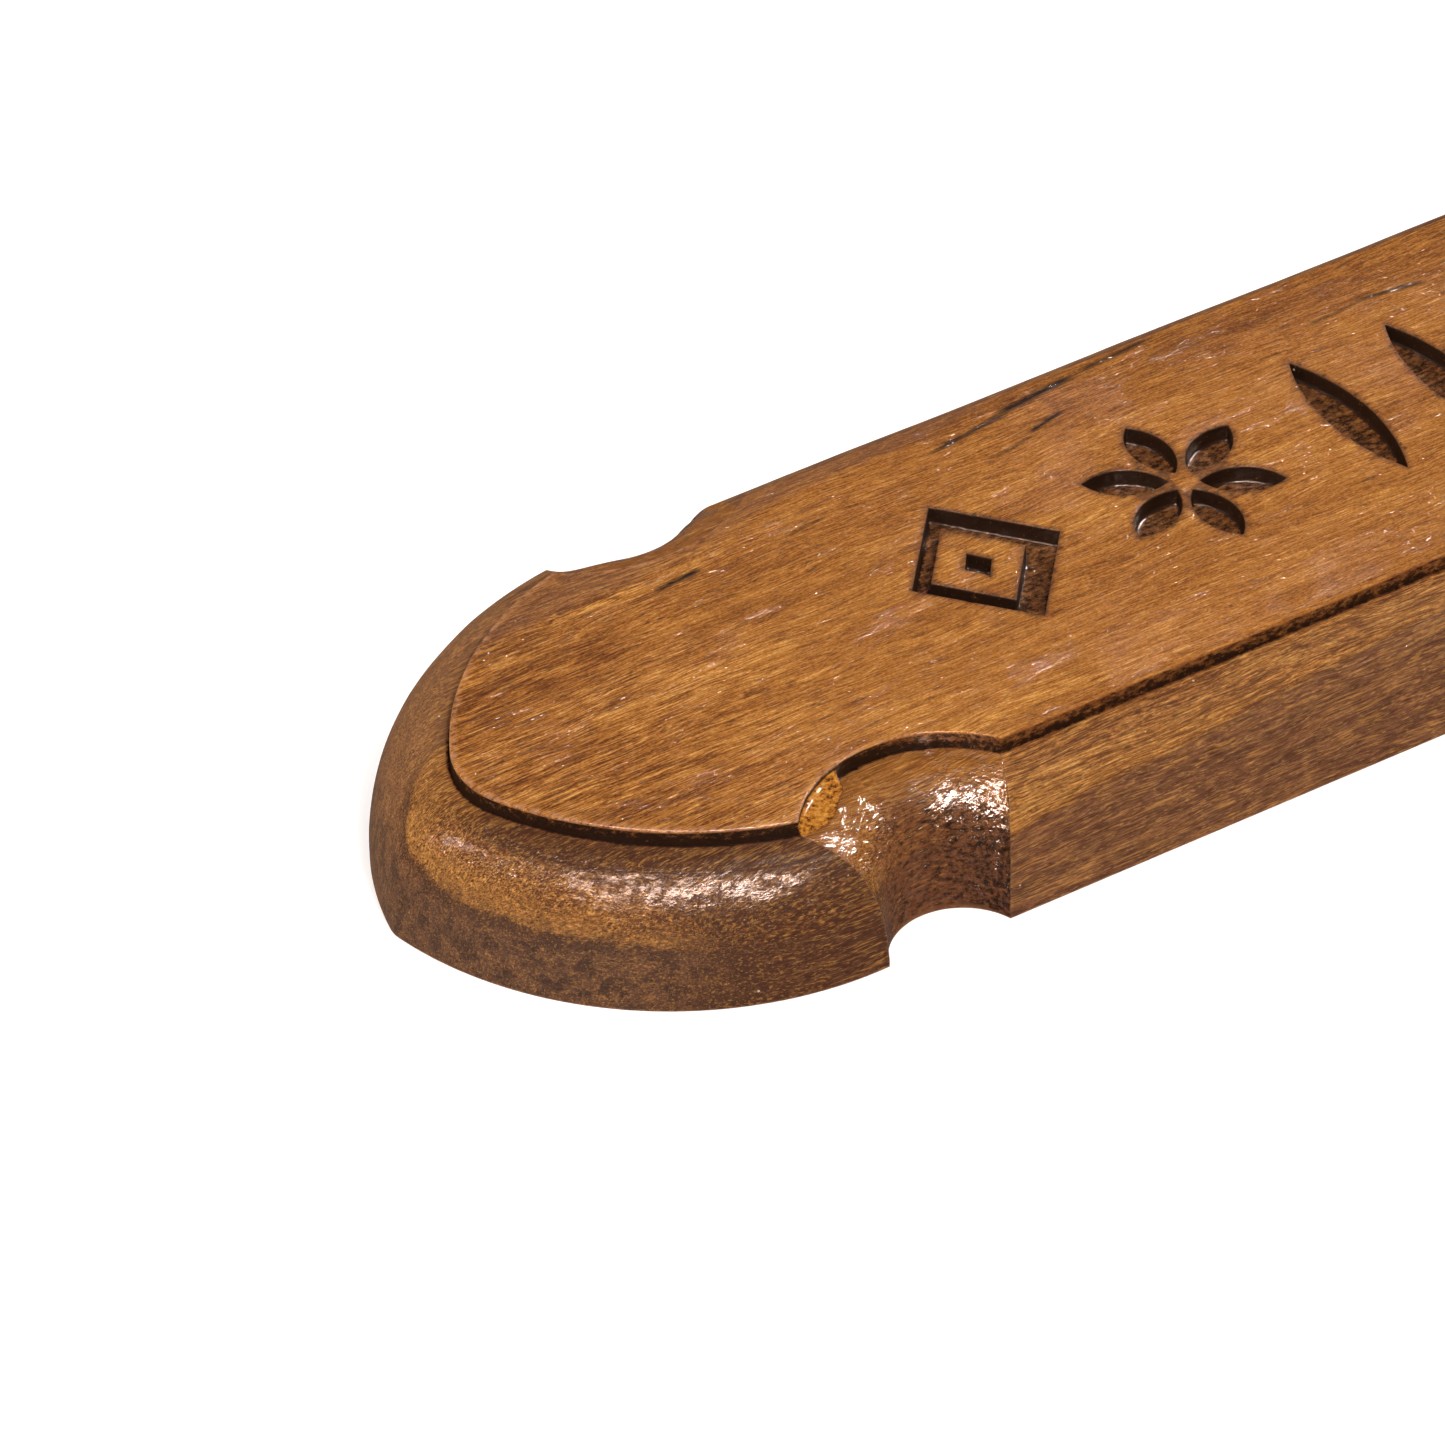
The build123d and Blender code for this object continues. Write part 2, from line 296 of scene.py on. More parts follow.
# ---------------------------------------------------------------- a mesh put together from sheets
class Sheets:
    """Vertices and triangles gathered from strips and flat regions that share their edges.
    Each vertex also carries how charred the wood is there, a mark that also holds painted shade,
    how scuffed it is, a mark that also holds painted glints, how torn it is, how far out on the
    moulding it lies, and whether it is in a notch."""

    MARKS = ("burnt", "worn", "torn", "out", "notch")

    def __init__(self):
        self.points, self.marks, self.faces, self.size = [], [], [], 0

    def add(self, points, faces, **marks):
        count = len(points)
        columns = [np.broadcast_to(marks.get(name, 0.0), count) for name in self.MARKS]
        self.points.append(points)
        self.marks.append(np.column_stack(columns))
        self.faces.append(np.asarray(faces) + self.size)
        self.size += count

    def strip(self, loops, **marks):
        """Quads, as pairs of triangles, between closed loops of equal length."""
        count = len(loops[0])
        here = np.arange(count)
        there = np.roll(here, -1)
        faces = []
        for row in range(len(loops) - 1):
            a, b = here + row * count, there + row * count
            c, d = b + count, a + count
            faces += [np.column_stack([a, b, c]), np.column_stack([a, c, d])]
        self.add(np.concatenate(loops), np.concatenate(faces), **marks)

    def region(self, loops, z, spacing, up=True, relief=None, margin=0.6, **marks):
        """A flat sheet bounded by closed loops by the even-odd rule, with a grid inside."""
        loops = [loop[np.linalg.norm(loop - np.roll(loop, 1, 0), axis=1) > 1e-6] for loop in loops]
        grid = inner_grid(loops, spacing, margin)
        edges, start = [], 0
        for loop in loops:
            ring = np.arange(len(loop)) + start
            edges += list(zip(ring.tolist(), np.roll(ring, -1).tolist()))
            start += len(loop)
        flat = np.concatenate([*loops, grid])
        corners = [Vector(p) for p in flat.tolist()]
        found, _, triangles, *_ = delaunay_2d_cdt(corners, edges, [], 0, 1e-7, False)
        if len(found) != len(flat):
            raise ValueError("loops cross, so the sheet can't be cut along them")
        triangles = np.array([t for t in triangles if len(t) == 3])
        triangles = triangles[enclosed(triangles, edges)]
        if not up:
            triangles = triangles[:, ::-1]
        points = np.column_stack([flat, np.full(len(flat), float(z))])
        if relief is not None:
            points[start:, 2] += relief(points[start:])
        self.add(points, triangles, **marks)

    def build(self, name, shape, creases):
        """One welded mesh object, in metres. shape moves the welded points, in millimetres, and
        edges that lie level at one of the crease heights stay sharp."""
        points, marks, faces = (np.concatenate(v) for v in (self.points, self.marks, self.faces))
        keys = np.round(points * 2e4).astype(np.int64)
        _, first, which = np.unique(keys, axis=0, return_index=True, return_inverse=True)
        which = which.reshape(-1)
        merged = np.zeros((len(first), len(self.MARKS)))
        np.maximum.at(merged, which, marks)
        points, faces = points[first], which[faces]
        faces = faces[(faces != np.roll(faces, 1, axis=1)).all(1)]
        points = shape(points, merged)
        mesh = bpy.data.meshes.new(name)
        mesh.from_pydata((points * MM).tolist(), [], faces.tolist())
        ends = np.empty(2 * len(mesh.edges), np.int32)
        mesh.edges.foreach_get("vertices", ends)
        heights = points[ends.reshape(-1, 2), 2]
        sharp = np.any([(np.abs(heights - z) < 1e-6).all(1) for z in creases], 0)
        mesh.attributes.new("sharp_edge", "BOOLEAN", "EDGE").data.foreach_set("value", sharp)
        for column, label in enumerate(self.MARKS):
            layer = mesh.attributes.new(label, "FLOAT", "POINT")
            layer.data.foreach_set("value", merged[:, column].astype(np.float32))
        mesh.shade_smooth()
        piece = bpy.data.objects.new(name, mesh)
        bpy.context.scene.collection.objects.link(piece)
        return piece


def enclosed(triangles, borders):
    """Which triangles lie inside by the even-odd rule, counting borders in from the outside."""
    sides = np.concatenate([triangles[:, pair] for pair in ([0, 1], [1, 2], [2, 0])])
    sides = np.sort(sides, axis=1)
    owners = {}
    for number, side in enumerate(map(tuple, sides.tolist())):
        owners.setdefault(side, []).append(number % len(triangles))
    borders = {tuple(sorted(edge)) for edge in borders}
    neighbours = [[] for _ in triangles]
    inside = [None] * len(triangles)
    waiting = []
    for side, pair in owners.items():
        if len(pair) == 1:
            inside[pair[0]] = side in borders
            waiting.append(pair[0])
        else:
            for here, there in (pair, pair[::-1]):
                neighbours[here].append((there, side in borders))
    while waiting:
        here = waiting.pop()
        for there, crosses in neighbours[here]:
            if inside[there] is None:
                inside[there] = inside[here] ^ crosses
                waiting.append(there)
    return np.array(inside, bool)


def inner_grid(loops, spacing, margin):
    """A staggered grid of points inside the loops, no closer to them than margin spacings."""
    low = np.min([loop.min(0) for loop in loops], 0)
    high = np.max([loop.max(0) for loop in loops], 0)
    rows = []
    starts = np.concatenate(loops)
    ends = np.concatenate([np.roll(loop, -1, 0) for loop in loops])
    for number, y in enumerate(np.arange(low[1], high[1], spacing * math.sqrt(3) / 2)):
        spans = (starts[:, 1] > y) != (ends[:, 1] > y)
        (x1, y1), (x2, y2) = starts[spans].T, ends[spans].T
        crossings = np.sort(x1 + (y - y1) * (x2 - x1) / (y2 - y1))
        xs = np.arange(low[0] + (number % 2) * spacing / 2, high[0], spacing)
        xs = xs[np.searchsorted(crossings, xs) % 2 == 1]
        rows.append(np.column_stack([xs, np.full(len(xs), y)]))
    grid = np.concatenate(rows)
    tree = kdtree.KDTree(len(starts))
    for n, p in enumerate(starts.tolist()):
        tree.insert((*p, 0), n)
    tree.balance()
    clear = [tree.find((x, y, 0))[2] > margin * spacing for x, y in grid.tolist()]
    return grid[np.array(clear, bool)] if len(grid) else grid


# ---------------------------------------------------------------- noise in millimetres
noise.seed_set(1)  # without a seed, vector noise is different in every run


def waves(points, size, seed):
    """Smooth noise from about -1 to 1 at each point; size is its wavelength along X, Y, Z."""
    moved = points / np.asarray(size, float) + seed * 17.3
    return np.array([noise.noise(p) for p in moved.tolist()])


def vector_waves(points, size, seed):
    moved = points / np.asarray(size, float) + seed * 17.3
    return np.array([noise.noise_vector(p) for p in moved.tolist()])


def smooth(low, high, value):
    share = np.clip((value - low) / (high - low), 0, 1)
    return share * share * (3 - 2 * share)


# ---------------------------------------------------------------- the teak board
def arris_radius(points):
    """How rounded the panel's edge is at each point: mostly crisp, with worn stretches."""
    wear = waves(points, (31, 31, 31), 3) + 0.5 * waves(points, (7, 7, 7), 4)
    return 0.22 + 0.12 * np.clip(wear, -1, 1)


def flat_loop(loop, z):
    return np.column_stack([loop, np.full(len(loop), float(z))])


# A sliver of wood left as a ramp in the step: its width, where along the notch it is widest and
# where it ends, as shares, and how far its upper end lies below the panel's edge.
CHIP_WIDTH, CHIP_POINT, CHIP_END, CHIP_DROP = 2.3, 0.20, 0.34, 0.4


def chip_mask():
    """How much of the sliver there is at each point of the outline: some at the ridge end of the
    lower notch at the -X end, and none elsewhere."""
    shares = notch_shares()
    chip = np.zeros(len(shares))
    last = slice(len(shares) - len(NOTCH_SHARES), None)
    along = shares[last]
    chip[last] = smooth(-0.07, CHIP_POINT, along) * (along > 0.001)
    chip[last] *= smooth(CHIP_END + 0.012, CHIP_END - 0.012, along)
    chip[last] *= smooth(CHIP_END * 1.6, CHIP_POINT * 0.6, along)
    return chip


NOTCH_FULLNESS = 1.3       # how much more than elsewhere the moulding's power is in a notch


def moulding_rows(chip):
    """Loops from the back face up to the panel's quirk, as one array, with each one's share of
    the way out from the panel to the foot. In the notches the shoulder is fuller."""
    turns = 1 - np.concatenate([[0, 0.012, 0.028], np.linspace(0.05, 0.985, 38), [1.0]])
    shares = np.sin(turns * math.pi / 2) ** (2 / MOULDING_POWER)
    shares[0] = 1.0
    in_notch = np.nan_to_num(notch_shares())
    fuller = smooth(0.04, 0.35, in_notch) * smooth(1.0, 0.75, in_notch)
    power = MOULDING_POWER + NOTCH_FULLNESS * fuller
    rows = []
    for share in shares:
        height = SHELF_Z * (1 - share**power) ** (1 / power)
        rows.append(np.column_stack([outline_points(PANEL.mix(FOOT, share)), height]))
    rows = np.array(rows)
    for column in np.flatnonzero(chip):
        start = chip[column] * CHIP_WIDTH / (FOOT.half_width - PANEL.half_width)
        wanted = start + (1 - start) * shares
        for axis in range(3):
            rows[:, column, axis] = np.interp(wanted, shares[::-1], rows[::-1, column, axis])
    return rows, shares


RIM_STEPS = 4


def rounded_rim(loop, z, radius):
    """Loops that turn from an upright wall on the loop to the flat face above it, inwards."""
    rows = []
    for turn in np.linspace(0, math.pi / 2, RIM_STEPS + 1):
        inset = radius * (1 - math.cos(turn))
        rows.append(np.column_stack([offset(loop, -inset), z - radius * (1 - math.sin(turn))]))
    return rows


# The loops of the step's wall: how far up it each one lies, and how far the cutter hollowed it.
WALL_SHARES = 0.10, 0.3, 0.5, 0.7, 0.88
WALL_INSETS = 0.02, 0.05, 0.06, 0.05, 0.02
# How scorched the wall is, darkest at its foot, where the dark also stands for painted shade,
# and how much of the sliver is torn wood, from its foot to the rim.
WALL_BURNS_AND_SHADE = np.array([1.1, 1.1, 1.0, 0.86, 0.8, 0.8, 0.5])[:, None]
WALL_TEARS = np.array([1, 1, 1, 1, 1, 0.4, 0])[:, None]


def board_outside(sheets):
    """The moulding, the step up to the panel, and the panel's worn edge. Returns the loop
    that the panel's face starts from, and the loop round the back face."""
    chip = chip_mask()
    rows, shares = moulding_rows(chip)
    count = rows.shape[1]
    foot = rows[0][:, :2].copy()
    back = offset(foot, -0.15)
    rows[0, :, 2] = 0.2
    # painted glint: the mark set here lays a pale line on the bottom arris for light caught on that
    # edge
    sheets.strip([flat_loop(back, 0), flat_loop(offset(foot, -0.04), 0.05), rows[0]], worn=0.7)

    panel = outline_points(PANEL)
    ridges = corners_of(panel).astype(float)
    ridges = np.maximum(ridges, 0.45 * np.maximum(np.roll(ridges, 1), np.roll(ridges, -1)))
    in_notch = np.nan_to_num(notch_shares())
    scorched = smooth(0.02, 0.2, in_notch) * (0.34 + 0.3 * in_notch)
    scorched = smooth(0.45, 0.8, shares)[:, None] * scorched
    # painted shadow: a dark band on the shelf at the foot of the step's wall, carried by the same
    # mark as the charring
    shadow_beside_wall = 0.75 * smooth(0.09, 0.0, shares)[:, None] * (chip < 0.05)
    # the ridges' mark paints them lighter: edge wear, and partly a painted highlight along each
    # ridge
    sheets.strip(
        list(rows), worn=np.tile(0.6 * ridges, len(rows)),
        burnt=np.maximum(scorched, shadow_beside_wall).ravel(), out=np.repeat(shares, count),
        notch=np.tile(in_notch > 0, len(rows)),
    )

    at_ends = smooth(62, 76, np.abs(rows[-1, :, 0]))
    radius = arris_radius(flat_loop(panel, THICKNESS))
    rim = rounded_rim(panel, THICKNESS, radius)
    ledge = rim[0] - (0, 0, CHIP_DROP)
    wall = [rows[-1]]
    for share, inset in zip(WALL_SHARES, WALL_INSETS):
        upright = np.column_stack([offset(panel, -inset), SHELF_Z + share * (STEP_DEPTH - radius)])
        ramp = rows[-1] + (ledge - rows[-1]) * share / WALL_SHARES[-1]
        wall.append(np.where(chip[:, None] > 0, ramp, upright))
    wall.append(rim[0])
    burnt = WALL_BURNS_AND_SHADE * (chip < 0.05) * (0.75 + 0.25 * at_ends)
    burnt[-2:] = np.where(chip > 0.05, 1.0, burnt[-2:])
    torn = WALL_TEARS * (chip > 0.05)
    sheets.strip(wall, burnt=burnt.ravel(), torn=torn.ravel())
    sheets.strip(rim, worn=np.tile(0.5 + 0.5 * at_ends, len(rim)))
    return rim[-1][:, :2], back


def ornament_loops():
    """Each cut's outlines, as a list of anticlockwise loops, from the outer one inwards: wood is
    cut away between the first and the second, and inside the third."""
    half = ORNAMENT_HEIGHT / 2
    shapes = []
    for side in (-1, 1):
        shift = side * WINDOW_SHIFT
        lozenges = [
            lozenge_points(LOZENGE_HALF_WIDTH, half),
            lozenge_points(WINDOW_HALF_WIDTH, half - WINDOW_MARGIN, shift),
            lozenge_points(HEART_HALF_WIDTH, HEART_HALF_HEIGHT, shift),
        ]
        shapes.append([loop + (side * LOZENGE_X, ENGRAVING_Y) for loop in lozenges])
        for number in range(PETALS):
            turn = math.radians(360 / PETALS * number)
            petal = leaf_points(BOSS_RADIUS, turn, half - BOSS_RADIUS, PETAL_WIDTH)
            shapes.append([petal + (side * ROSETTE_X, ENGRAVING_Y)])
        spindle = leaf_points(0, 0, ORNAMENT_HEIGHT, SPINDLE_WIDTH)
        shapes.append([spindle + (side * SPINDLE_X, ENGRAVING_Y - half)])
    return shapes


LIP_DEPTH = 0.16           # of the rounded lip above an engraved wall


def carve(sheets):
    """The engraved recesses: crisp rims, burnt walls and rough floors. Returns the rim loops,
    which the panel's face is cut along."""
    rims = []
    floor_z = THICKNESS - ENGRAVING_DEPTH

    def rough(points):
        ridges = waves(points, (1.6, 0.42, 1), 11) * 0.10 + waves(points, (0.5, 0.3, 1), 12) * 0.07
        return ridges - 0.03

    for shape in ornament_loops():
        floors = []
        for depth, loop in enumerate(shape):
            outwards = 1 if depth % 2 == 0 else -1
            rim = offset(loop, 0.10 * outwards)
            lip = [
                flat_loop(rim, THICKNESS),
                flat_loop(offset(loop, 0.03 * outwards), THICKNESS - 0.06),
                flat_loop(loop, THICKNESS - LIP_DEPTH),
            ]
            sheets.strip(lip[::outwards], burnt=0.55, worn=0.5)
            wall = [lip[-1]]
            for share in (0.2, 0.4, 0.6, 0.8):
                z = THICKNESS - LIP_DEPTH - share * (ENGRAVING_DEPTH - LIP_DEPTH)
                ragged = 0.05 * waves(flat_loop(loop, z), (0.7, 0.7, 0.9), 13)
                wall.append(flat_loop(offset(loop, ragged - 0.04 * outwards * share), z))
            foot = offset(loop, -0.06 * outwards)
            wall.append(flat_loop(foot, floor_z))
            sheets.strip(wall[::outwards], burnt=1.0)
            rims.append(rim)
            floors.append(foot)
        sheets.region(floors, floor_z, 0.24, relief=rough, margin=0.7, burnt=0.6)
    return rims


def board_back(sheets, outer):
    """The flat back, with a housing, a head pocket and two pilot holes for each hanger."""
    housings = []
    for x in (-HANGER_X, HANGER_X):
        housing = stadium_points(HOUSING_WIDTH, HOUSING_LENGTH, x, 0)
        pocket = stadium_points(POCKET_WIDTH, POCKET_LENGTH, x, POCKET_Y)
        pilots = [circle_points(PILOT_RADIUS, x, y) for y in (-PILOT_Y, PILOT_Y)]
        rim = offset(housing, 0.08)
        wall = [flat_loop(housing, HOUSING_Z), flat_loop(housing, 0.10), flat_loop(rim, 0)]
        sheets.strip(wall, burnt=0.25)
        sheets.region([housing, pocket, *pilots], HOUSING_Z, 0.8, up=False)
        wall = [flat_loop(pocket, z) for z in np.linspace(POCKET_Z, HOUSING_Z, 6)]
        sheets.strip(wall, burnt=0.35)
        sheets.region([pocket], POCKET_Z, 0.8, up=False, burnt=0.3)
        for pilot in pilots:
            wall = [flat_loop(pilot, z) for z in np.linspace(PILOT_Z, HOUSING_Z, 5)]
            sheets.strip(wall, burnt=0.4)
            sheets.region([pilot], PILOT_Z, 0.8, up=False, burnt=0.4)
        housings.append(rim)
    sheets.region([outer, *housings], 0.0, 1.4, up=False)


def keep_inside(points):
    """Points moved back inside the CAD model's box where the wood's unevenness takes them out."""
    low, high = (np.array(corner) / MM for corner in cad_box)
    return np.clip(points, low, high)


def uneven(points, marks):
    """The slight waviness of a board that was cut by a router and sanded by hand: a sway in the
    moulding, fibres that stand out of the burnt walls, and nicks in the worn edges."""
    burnt, worn = (marks[:, Sheets.MARKS.index(name)] for name in ("burnt", "worn"))
    z = points[:, 2]
    sway = vector_waves(points, (26, 14, 14), 21) * 0.16
    sway += vector_waves(points, (5, 3, 3), 22) * 0.035
    moulding = smooth(0.6, 2.0, z) * smooth(SHELF_Z + 0.1, SHELF_Z - 1.5, z)
    free = np.where(z > SHELF_Z - 0.01, 0.0, moulding)
    points = points + sway * free[:, None]
    z = points[:, 2]
    fibres = vector_waves(points, (1.1, 0.35, 0.35), 23) * 0.045
    walls = (burnt > 0.4) & (z > THICKNESS - ENGRAVING_DEPTH + 0.05) & (z < THICKNESS - 0.3)
    points[:, :2] += (fibres * walls[:, None])[:, :2]
    nicks = smooth(0.25, 0.7, waves(points, (1.3, 1.3, 1.3), 24))
    points[:, 2] -= 0.05 * nicks * (worn > 0.45) * (z > SHELF_Z)
    return keep_inside(points)


def make_board():
    sheets = Sheets()
    panel_edge, back_edge = board_outside(sheets)
    rims = carve(sheets)
    sheets.region([panel_edge, *rims], THICKNESS, 0.8)
    board_back(sheets, back_edge)
    return sheets.build("teak_board", uneven, creases=(SHELF_Z, THICKNESS - ENGRAVING_DEPTH))


# ---------------------------------------------------------------- shader graphs
class Graph:
    """A material's node tree, written as expressions."""

    def __init__(self, name):
        self.material = bpy.data.materials.new(name)
        self.material.use_nodes = True
        self.tree = self.material.node_tree
        self.tree.nodes.clear()

    def node(self, kind, values=(), **settings):
        """A new node; values maps input names or places to sockets or constants."""
        made = self.tree.nodes.new("ShaderNode" + kind)
        for setting, value in settings.items():
            setattr(made, setting, value)
        for key, value in dict(values).items():
            if isinstance(value, bpy.types.NodeSocket):
                self.tree.links.new(value, made.inputs[key])
            else:
                made.inputs[key].default_value = value
        return made

    def place(self):
        """The shaded point in the object's own frame, in millimetres."""
        point = self.vector("SCALE", self.node("TexCoord").outputs["Object"])
        point.node.inputs["Scale"].default_value = 1 / MM
        return point

    def mark(self, name):
        return self.node("Attribute", attribute_name=name).outputs["Fac"]

    def math(self, operation, *values):
        return self.node("Math", enumerate(values), operation=operation).outputs[0]

    def add(self, *values):
        total = values[0]
        for value in values[1:]:
            total = self.math("ADD", total, value)
        return total

    def times(self, *values):
        total = values[0]
        for value in values[1:]:
            total = self.math("MULTIPLY", total, value)
        return total

    def rest(self, share):
        """What a share leaves of one."""
        return self.math("SUBTRACT", 1.0, share)

    def swing(self, value, reach):
        """A noise from 0 to 1 made to swing about zero, over reach in all."""
        return self.times(self.add(value, -0.5), reach)

    def step(self, value, low, high, to_low=0.0, to_high=1.0):
        """value mapped smoothly from low..high, and held beyond both."""
        made = self.node("MapRange", {"Value": value}, interpolation_type="SMOOTHSTEP")
        ends = {"From Min": low, "From Max": high, "To Min": to_low, "To Max": to_high}
        for key, end in ends.items():
            made.inputs[key].default_value = end
        return made.outputs[0]

    def vector(self, operation, *values):
        made = self.node("VectorMath", enumerate(values), operation=operation)
        return made.outputs["Value" if operation == "DOT_PRODUCT" else "Vector"]

    def noise(self, vector, size, detail, rough, shift, colour=False):
        """Noise whose wavelength along X, Y and Z is size, in the vector's own units."""
        scaled = self.vector("MULTIPLY_ADD", vector, [1 / s for s in size], (shift, shift, shift))
        keys = {"Vector": scaled, "Scale": 1.0, "Detail": detail, "Roughness": rough}
        return self.node("TexNoise", keys).outputs[1 if colour else 0]

    def drift(self, vector, size, reach, shift):
        """A sideways displacement along Y and Z that swings over reach as vector moves by size."""
        aside = self.noise(vector, size, 2, 0.5, shift, colour=True)
        aside = self.vector("SUBTRACT", aside, (0.5, 0.5, 0.5))
        return self.vector("MULTIPLY", aside, (0, reach, reach))

    def blend(self, share, a, b):
        return self.node("Mix", {0: share, 6: a, 7: b}, data_type="RGBA").outputs[2]

    def dye(self, colour, share, red, green, blue):
        """colour with a share of it replaced by an 8-bit display colour."""
        return self.blend(share, colour, (*srgb(red, green, blue), 1))

    def ramp(self, value, stops):
        made = self.node("ValToRGB", {0: value})
        elements = made.color_ramp.elements
        while len(elements) < len(stops):
            elements.new(0.5)
        for element, (place, colour) in zip(elements, stops):
            element.position, element.color = place, (*colour, 1)
        return made.outputs[0]

    def bump(self, height, distance, strength, normal=None):
        values = {"Height": height, "Distance": distance, "Strength": strength}
        if normal is not None:
            values["Normal"] = normal
        return self.node("Bump", values).outputs[0]

    def finish(self, **values):
        shader = self.node("BsdfPrincipled", {k.replace("_", " "): v for k, v in values.items()})
        output = self.node("OutputMaterial")
        self.tree.links.new(shader.outputs[0], output.inputs[0])
        return self.material


def srgb(red, green, blue):
    """An 8-bit display colour as the linear one a shader takes."""
    shares = [c / 255 for c in (red, green, blue)]
    return tuple(s / 12.92 if s < 0.04045 else ((s + 0.055) / 1.055) ** 2.4 for s in shares)


# The last dark growth ring is a cylinder that leans along X: where its axis is in the plane
# x = 0, how much that moves for each millimetre of X, and its radius.
RING_Y, RING_Z = -0.83, 69.7
RING_SLOPE_Y, RING_SLOPE_Z = 0.192, 0.028
RING_RADIUS = 60.9
LATER_RING_SPACING = 3.1

# Black mineral streaks in the face: both ends in plan, half width and strength.
STREAKS = [
    ((-76.4, 14.0), (-71.0, 14.5), 0.41, 1.00), ((-61.8, 14.2), (-57.2, 14.8), 0.22, 0.66),
    ((-42.5, 17.6), (-33.0, 19.0), 0.41, 0.90), ((-34.0, 19.3), (-24.5, 20.4), 0.57, 1.00),
    ((-24.0, 20.6), (-15.0, 21.3), 0.38, 0.84), ((-38.0, 13.7), (-33.0, 14.6), 0.27, 0.60),
    ((-33.0, 15.2), (-28.5, 16.3), 0.38, 0.96), ((-1.0, 14.6), (6.0, 15.1), 0.30, 0.60),
    ((5.5, 15.4), (13.0, 14.3), 0.43, 0.84), ((38.0, -9.0), (44.0, -8.2), 0.30, 0.84),
    ((62.0, 6.5), (66.5, 7.2), 0.34, 0.96),
]


def add_streaks(g, place, face, colour):
    fray = g.swing(g.noise(place, (2.2, 0.5, 0.5), 3, 0.7, 12.1), 0.48)
    for (x1, y1), (x2, y2), half_width, strength in STREAKS:
        run = math.hypot(x2 - x1, y2 - y1)
        along_axis = ((x2 - x1) / run, (y2 - y1) / run, 0.0)
        side_axis = (-along_axis[1], along_axis[0], 0.0)
        middle = g.vector("SUBTRACT", place, ((x1 + x2) / 2, (y1 + y2) / 2, 0.0))
        along = g.math("ABSOLUTE", g.vector("DOT_PRODUCT", middle, along_axis))
        aside = g.add(g.vector("DOT_PRODUCT", middle, side_axis), fray)
        aside = g.add(g.math("ABSOLUTE", aside), fray)
        body = g.times(g.step(along, run * 0.62, run / 3), g.step(aside, half_width * 1.4, 0.0))
        colour = g.dye(colour, g.times(body, face, strength), 34, 22, 16)
    return colour


